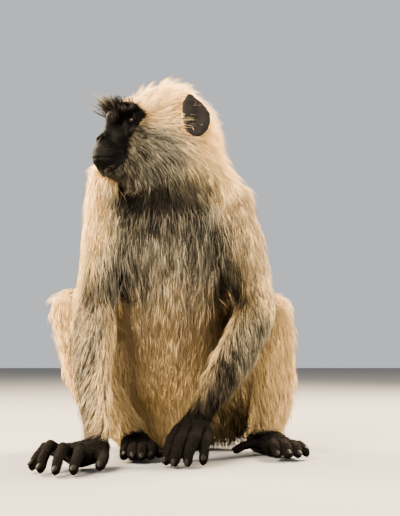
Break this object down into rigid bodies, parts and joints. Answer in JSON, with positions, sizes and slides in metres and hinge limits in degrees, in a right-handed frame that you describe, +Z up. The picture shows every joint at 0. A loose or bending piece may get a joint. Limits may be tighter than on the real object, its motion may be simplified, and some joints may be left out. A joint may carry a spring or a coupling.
{
  "type": "gray langur monkey figure",
  "caption": "Life-size still model of a gray langur sitting upright, knees drawn up, both hands on the ground and head turned to its right.",
  "frame": {"origin": "middle of the seat, on the ground", "axes": "+Z up; the chest faces -Y; the animal's left is +X; the head is turned about 62 degrees to its right, towards -X"},
  "size_m": [0.3597, 0.7907, 0.5397],
  "materials": {
    "coat": "long pale buff hair, grey-brown on chest and forearms",
    "face_skin": "matt black bare skin with short hairs",
    "ear_skin": "matt black skin",
    "hand_skin": "black-brown skin with short dark hair",
    "eye": "wet, dark brown iris"
  },
  "bodies": {
    "root": {"belly": "coat", "chest": "coat", "ear_left": "ear_skin", "ear_right": "ear_skin", "eye_left": "eye", "eye_right": "eye", "face": "face_skin", "fifth_toe_left": "hand_skin", "fifth_toe_right": "hand_skin", "foot_left": "hand_skin", "foot_right": "hand_skin", "forearm_left": "coat", "forearm_right": "coat", "fourth_toe_left": "hand_skin", "fourth_toe_right": "hand_skin", "hallux_toe_left": "hand_skin", "hallux_toe_right": "hand_skin", "hand_left": "hand_skin", "hand_right": "hand_skin", "head": "coat", "index_finger_left": "hand_skin", "index_finger_right": "hand_skin", "little_finger_left": "hand_skin", "little_finger_right": "hand_skin", "middle_finger_left": "hand_skin", "middle_finger_right": "hand_skin", "neck": "coat", "ring_finger_left": "hand_skin", "ring_finger_right": "hand_skin", "second_toe_left": "hand_skin", "second_toe_right": "hand_skin", "shin_left": "coat", "shin_right": "coat", "tail_base": "coat", "tail_length_2": "coat", "tail_length_3": "coat", "tail_length_4": "coat", "tail_length_5": "coat", "tail_tip": "coat", "thigh_left": "coat", "thigh_right": "coat", "third_toe_left": "hand_skin", "third_toe_right": "hand_skin", "thumb_left": "hand_skin", "thumb_right": "hand_skin", "upper_arm_left": "coat", "upper_arm_right": "coat"}
  },
  "joints": []
}
